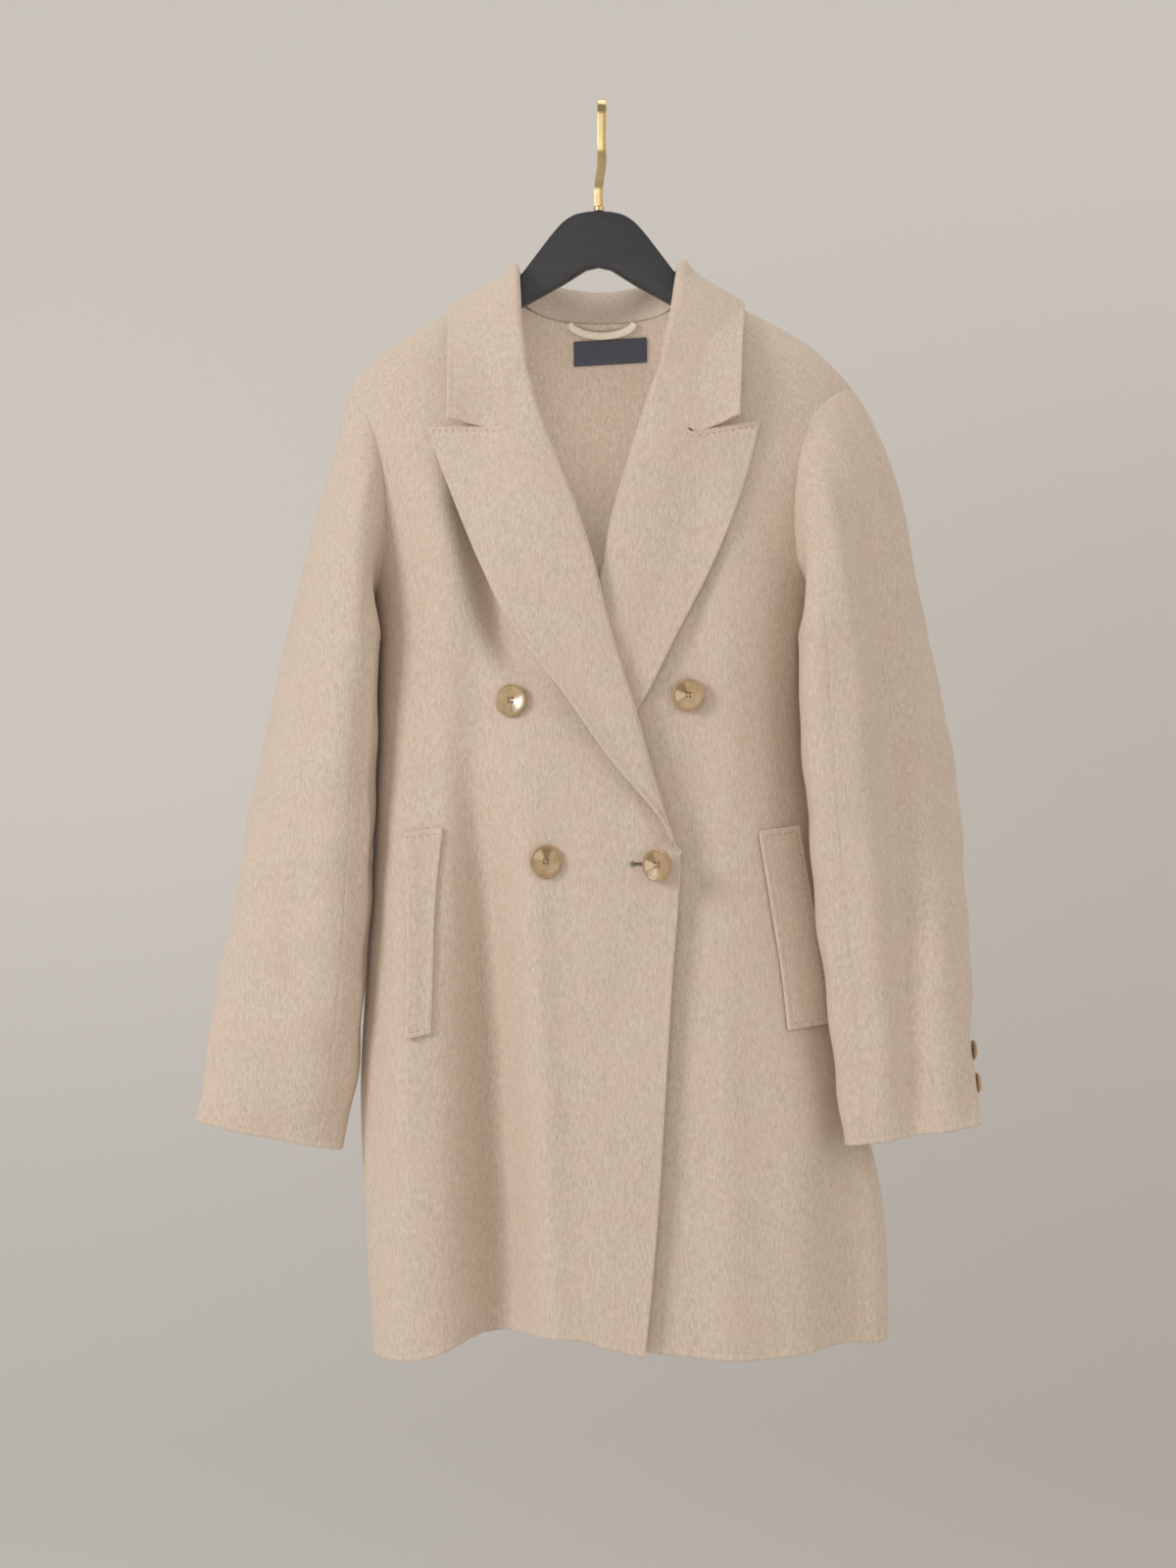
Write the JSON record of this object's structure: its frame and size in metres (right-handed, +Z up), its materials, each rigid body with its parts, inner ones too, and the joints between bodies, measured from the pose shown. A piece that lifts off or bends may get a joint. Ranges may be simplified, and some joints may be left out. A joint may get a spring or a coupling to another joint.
{
  "type": "double-breasted coat on a hanger",
  "caption": "Double-breasted wool coat with peak lapels, welt pockets and long open sleeves, hung on a shaped hanger with a flat brass hook",
  "frame": {"origin": "inner top of the hanger hook, where a rail carries it", "axes": "+Z up, -Y the coat's front, +X the wearer's left"},
  "size_m": [0.6262, 0.1858, 1.022],
  "materials": {
    "wool": "brushed double-faced wool, oatmeal",
    "button": "polished horn look",
    "wood": "matt black lacquer",
    "brass": "polished",
    "loop": "flat ivory cord",
    "label": "plain navy satin"
  },
  "bodies": {
    "root": {"front_right": "wool", "front_left": "wool", "back_right": "wool", "back_left": "wool", "sleeve_right_top": "wool", "sleeve_right_under": "wool", "sleeve_left_top": "wool", "sleeve_left_under": "wool", "collar": "wool", "welt_right": "wool", "welt_left": "wool", "button_right_upper": "button", "button_right_lower": "button", "button_left_upper": "button", "button_left_lower": "button", "cuff_button_right_1": "button", "cuff_button_right_2": "button", "cuff_button_left_1": "button", "cuff_button_left_2": "button", "hanging_loop": "loop", "label": "label", "hanger": "wood", "hanger_hook": "brass", "hook_ferrule": "brass"}
  },
  "joints": []
}
